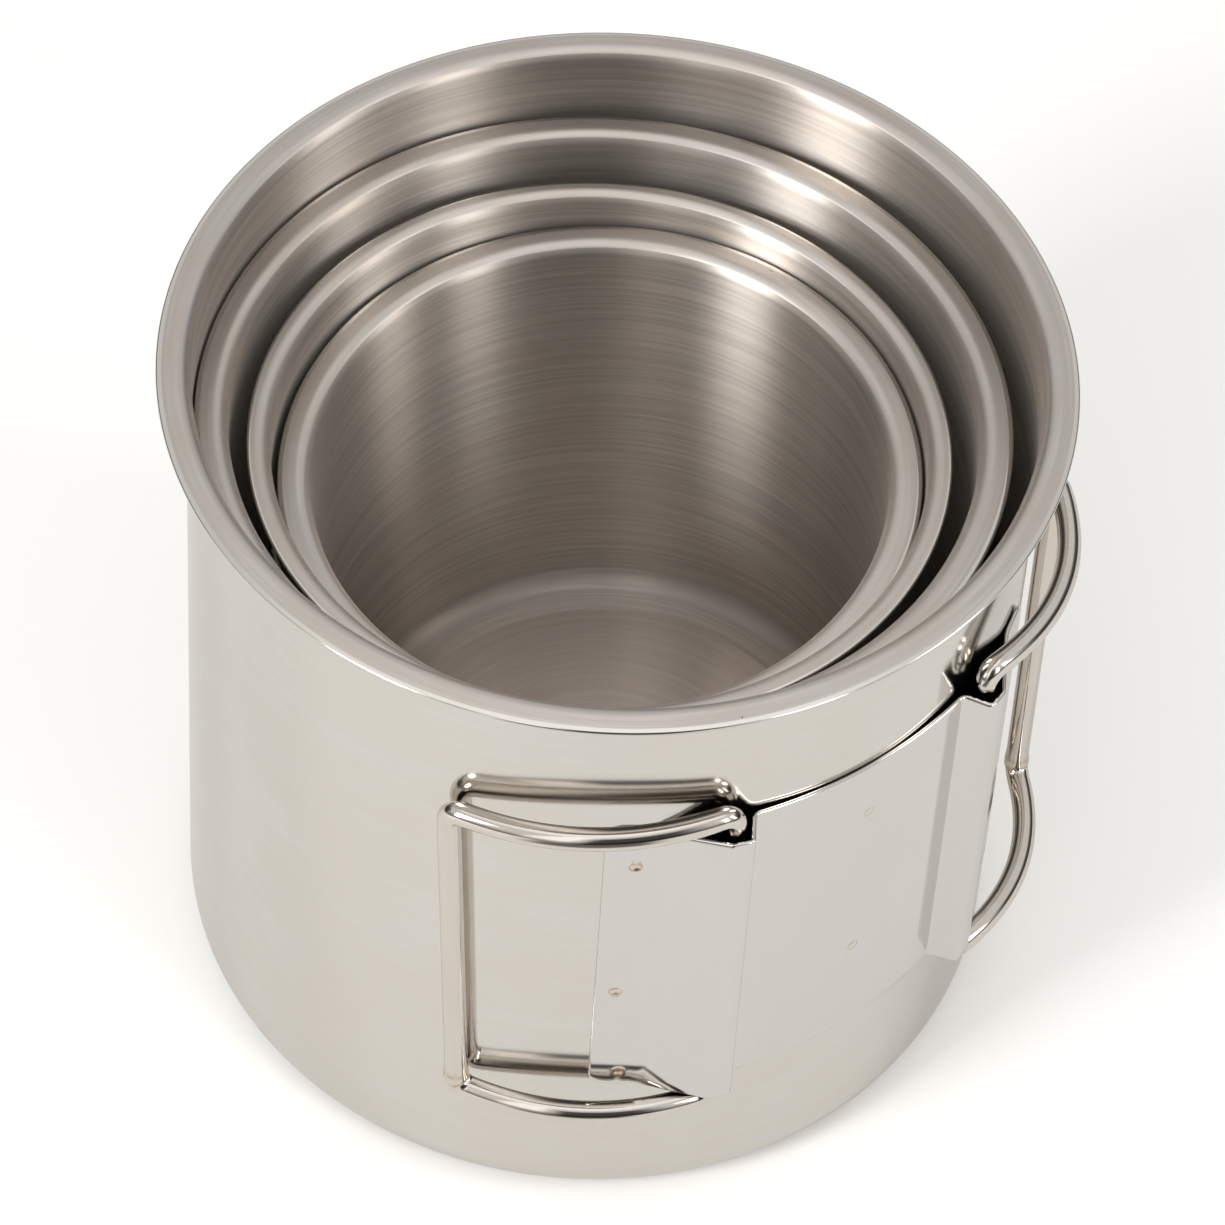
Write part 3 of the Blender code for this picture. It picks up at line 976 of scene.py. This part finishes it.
def build_world():
    """A pale room, dimmer where a person stands in front, and plain white to the camera itself."""
    world = bpy.data.worlds.new("studio")
    bpy.context.scene.world = world
    world.use_nodes = True
    tree = world.node_tree
    tree.nodes.clear()
    shader = Shader(tree)
    direction = shader.node("ShaderNodeTexCoord").outputs["Generated"]
    x, y, z = shader.node("ShaderNodeSeparateXYZ", {"Vector": direction}).outputs
    level = shader.math("SQRT", shader.math("SUBTRACT", 1.0, shader.times(z, z)))
    ahead = shader.times(y, -1.0)
    facing = shader.math("DIVIDE", ahead, shader.math("MAXIMUM", level, TINY))
    azimuth = shader.math("DEGREES", shader.math("ARCTAN2", x, ahead))
    aside = shader.math("ABSOLUTE", azimuth)
    room = shader.ramp(facing, *SIDES_START, ROOM_BACK, ROOM_SIDES)
    room = shader.times(room, shader.ramp(facing, *FRONT_START, 1.0, ROOM_FRONT / ROOM_SIDES))
    person = shader.times(shader.ramp(azimuth, *PERSON_LEFT), shader.ramp(azimuth, *PERSON_RIGHT, 1.0, 0.0))
    person = shader.times(person, shader.ramp(z, *PERSON_TOP, 1.0, 0.0))
    room = shader.times(room, shader.rest_of(person, PERSON_DIMS))
    curtain = shader.times(shader.ramp(aside, *CURTAIN_FRONT), shader.ramp(aside, *CURTAIN_BACK, 1.0, 0.0))
    curtain = shader.times(curtain, shader.ramp(z, *CURTAIN_TOP, 1.0, 0.0))
    room = shader.times(room, shader.rest_of(curtain, CURTAIN_DIMS))
    strip = shader.times(shader.ramp(azimuth, *STRIP_LEFT), shader.ramp(azimuth, *STRIP_RIGHT, 1.0, 0.0))
    room = shader.times(room, shader.total(1.0, shader.times(strip, STRIP_BRIGHTENS)))
    room = shader.times(room, shader.ramp(z, *HORIZON, HORIZON_LIGHT, 1.0))
    ceiling = shader.ramp(z, *CEILING_START)
    strength = shader.total(
        shader.times(room, shader.math("SUBTRACT", 1.0, ceiling)),
        shader.times(ceiling, ROOM_CEILING))
    room_light = shader.node("ShaderNodeBackground", {"Color": ROOM_COLOUR, "Strength": strength})
    backdrop = shader.node("ShaderNodeBackground", {"Color": BACKDROP_COLOUR, "Strength": 1.0})
    seen = shader.node("ShaderNodeLightPath").outputs["Is Camera Ray"]
    mixed = shader.node("ShaderNodeMixShader", {0: seen, 1: room_light.outputs[0], 2: backdrop.outputs[0]})
    shader.node("ShaderNodeOutputWorld", {"Surface": mixed.outputs[0]})


FLOOR_PALE = (0.98, 0.98, 0.975)  # to the camera
FLOOR_MIRRORED = (0.755, 0.75, 0.735)
# painted shade: the floor's colour in front of the set, seen only in reflections, for the dark where a
# person stands
FLOOR_PAINTED_SHADE = (0.12, 0.11, 0.10)
FLOOR_RADIUS = 3.0
FLOOR_SIDES = 96
FLOOR_ROUGHNESS = 0.7
FLOOR_SHEEN = 0.2
SHADE_START = (0.10, 0.18)  # metres in front of the set
SHADE_SIDES = (0.22, 0.42)  # aside, as a share of how far in front


def build_floor():
    """A plain pale table top. To the set, which mirrors it, it carries painted shade in front, standing for
    the dark where a person stands.
    """
    material = bpy.data.materials.new("floor_pale")
    material.use_nodes = True
    tree = material.node_tree
    surface = tree.nodes["Principled BSDF"]
    surface.inputs["Roughness"].default_value = FLOOR_ROUGHNESS
    surface.inputs["Specular IOR Level"].default_value = FLOOR_SHEEN
    shader = Shader(tree)
    place = shader.node("ShaderNodeTexCoord").outputs["Object"]
    x, y, _ = shader.node("ShaderNodeSeparateXYZ", {"Vector": place}).outputs
    ahead = shader.math("MAXIMUM", shader.times(y, -1.0), TINY)
    aside = shader.math("DIVIDE", shader.math("ABSOLUTE", x), ahead)
    # painted shade in a wedge in front of the set, seen only in the set's reflections of the floor
    painted_shade = shader.times(shader.ramp(ahead, *SHADE_START), shader.ramp(aside, *SHADE_SIDES, 1.0, 0.0))
    seen = shader.node("ShaderNodeLightPath").outputs["Is Camera Ray"]
    colour = shader.tint(seen, shader.tint(painted_shade, FLOOR_MIRRORED, FLOOR_PAINTED_SHADE), FLOOR_PALE)
    tree.links.new(colour, surface.inputs["Base Color"])
    bm = bmesh.new()
    bmesh.ops.create_circle(bm, cap_ends=True, segments=FLOOR_SIDES, radius=FLOOR_RADIUS)
    mesh = bpy.data.meshes.new("floor")
    bm.to_mesh(mesh)
    bm.free()
    mesh.materials.append(material)
    floor = bpy.data.objects.new("floor", mesh)
    bpy.context.scene.collection.objects.link(floor)


cups = [measure_cup(name) for name in ("large", "medium", "small", "mini")]
for cup in cups:
    build_shell(cup)
    build_bracket(cup)
    for side in (-1, 1):
        build_loop(cup, side)
build_floor()
build_world()
for box in SOFTBOXES:
    build_softbox(box)
build_camera(cups[0])
bpy.context.scene.view_settings.view_transform = "Standard"
